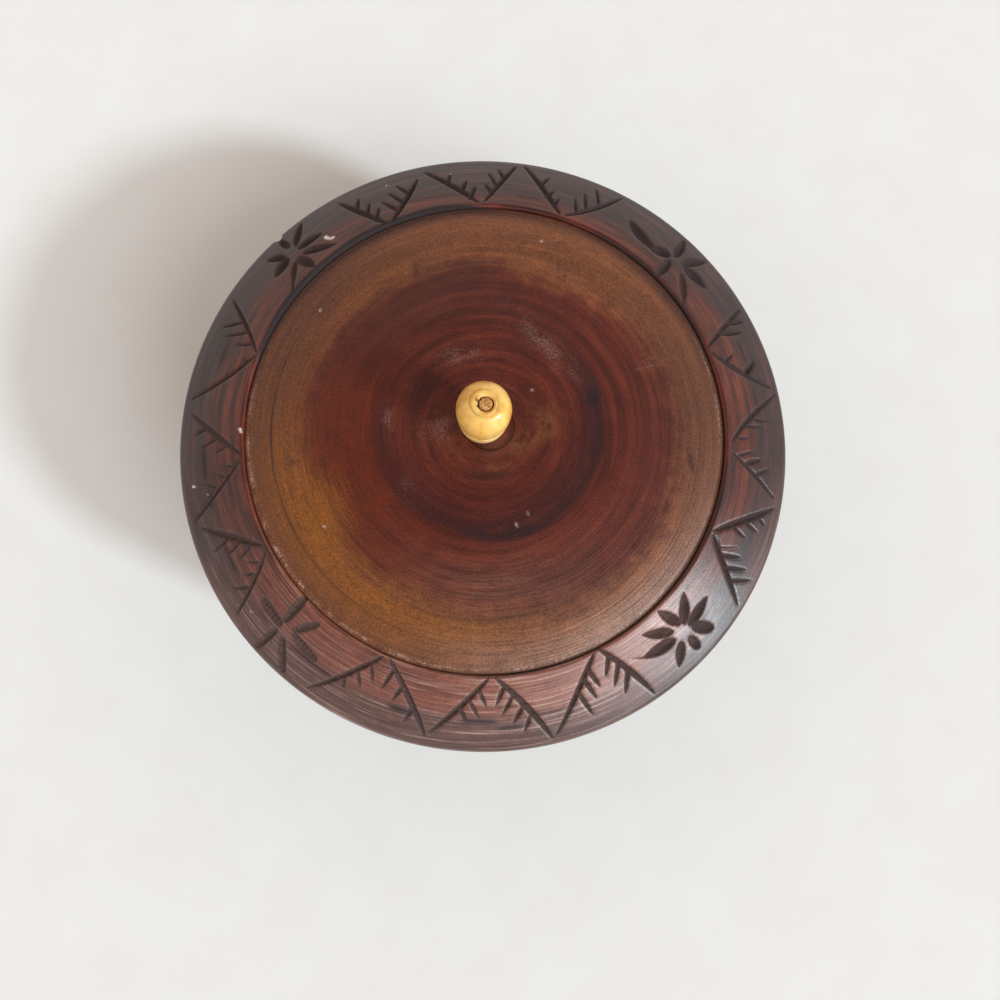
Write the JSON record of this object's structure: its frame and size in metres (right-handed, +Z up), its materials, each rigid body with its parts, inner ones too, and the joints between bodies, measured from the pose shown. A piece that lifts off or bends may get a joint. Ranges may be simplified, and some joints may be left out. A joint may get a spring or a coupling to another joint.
{
  "type": "trinket box",
  "caption": "Round turned wooden trinket box with a carved shoulder, a lift-out lid and a turned bone bead knob.",
  "frame": {"origin": "middle of the foot's underside, on the surface that the box stands on", "axes": "+Z up along the turning axis; the box is round, so +X and +Y are free"},
  "size_m": [0.15, 0.15, 0.0897],
  "materials": {
    "stained_wood": "stained and waxed hardwood",
    "oiled_wood": "oiled hardwood, worn",
    "bone": "polished yellowed bone",
    "peg_wood": "raw end grain"
  },
  "bodies": {
    "box": {"box_body": "stained_wood"},
    "lid": {"lid": "oiled_wood", "knob": "bone", "knob_peg": "peg_wood"}
  },
  "joints": [
    {"name": "lid_lift", "type": "slide", "parent": "box", "child": "lid", "axis": [0, 0, 1], "range_m": [0, 0.08]}
  ]
}
